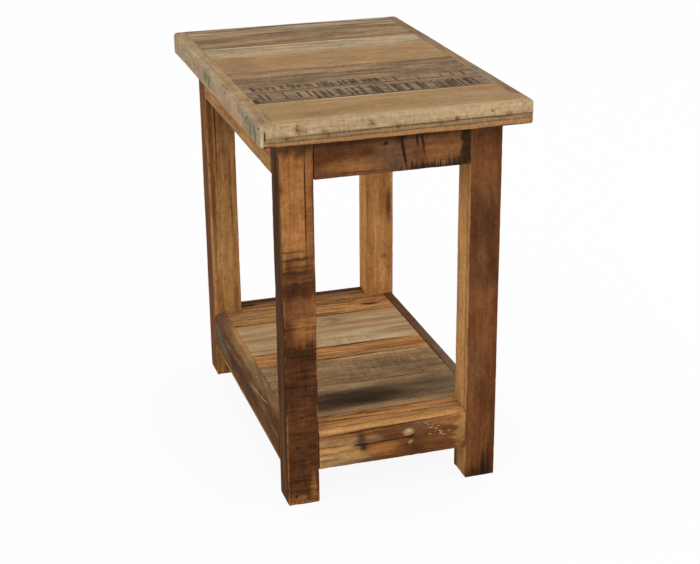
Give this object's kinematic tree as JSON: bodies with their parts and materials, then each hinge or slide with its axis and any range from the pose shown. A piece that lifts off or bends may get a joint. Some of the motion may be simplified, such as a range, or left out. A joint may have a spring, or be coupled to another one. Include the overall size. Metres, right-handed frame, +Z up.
{
  "type": "side table",
  "caption": "Rustic side table of reclaimed boards: thick plank top, square legs, aprons and a plank shelf near the floor.",
  "frame": {"origin": "middle of the table's outline, on the floor under the feet", "axes": "+X to the right along the narrow side, +Y from the front to the back along the deep side, +Z up"},
  "size_m": [0.4, 0.61, 0.61],
  "materials": {
    "leg_wood": "waxed old timber, saw marks, dark stains",
    "apron_wood": "waxed old timber, black edge stains",
    "rail_wood": "waxed old timber, knots and paint flecks",
    "umber_board": "waxed, weathered brown grain with a soft stain",
    "brown_board": "waxed, brown grain",
    "tan_board": "waxed, warm tan grain",
    "pale_board": "waxed, pale tan grain",
    "grey_board": "waxed, greyed pale grain with faint saw marks",
    "sawn_board": "rough sawn, dark kerf rows",
    "border_wood": "waxed with worn grey-green old paint on the edge",
    "inner_wood": "plain planed batten",
    "screw_steel": "zinc-plated steel"
  },
  "bodies": {
    "root": {"leg_front_left": "leg_wood", "leg_front_right": "leg_wood", "leg_back_right": "leg_wood", "leg_back_left": "leg_wood", "apron_front": "apron_wood", "rail_front": "rail_wood", "apron_right": "apron_wood", "rail_right": "rail_wood", "apron_back": "apron_wood", "rail_back": "rail_wood", "apron_left": "apron_wood", "rail_left": "rail_wood", "top_board_back": "umber_board", "top_board_2": "brown_board", "top_board_3": "pale_board", "top_board_4": "tan_board", "top_board_5": "brown_board", "top_board_6": "sawn_board", "top_board_front": "pale_board", "top_border_left": "border_wood", "top_border_right": "border_wood", "shelf_board_back": "tan_board", "shelf_board_2": "grey_board", "shelf_board_3": "tan_board", "shelf_board_4": "umber_board", "shelf_board_front": "umber_board", "shelf_strip_front": "tan_board", "shelf_strip_back": "tan_board", "top_cleat_front": "inner_wood", "shelf_cleat_front": "inner_wood", "top_cleat_right": "inner_wood", "shelf_cleat_right": "inner_wood", "top_cleat_back": "inner_wood", "shelf_cleat_back": "inner_wood", "top_cleat_left": "inner_wood", "shelf_cleat_left": "inner_wood", "top_board_screws": "screw_steel", "top_cleat_screws": "screw_steel", "shelf_board_screws": "screw_steel", "shelf_cleat_screws": "screw_steel"}
  },
  "joints": []
}
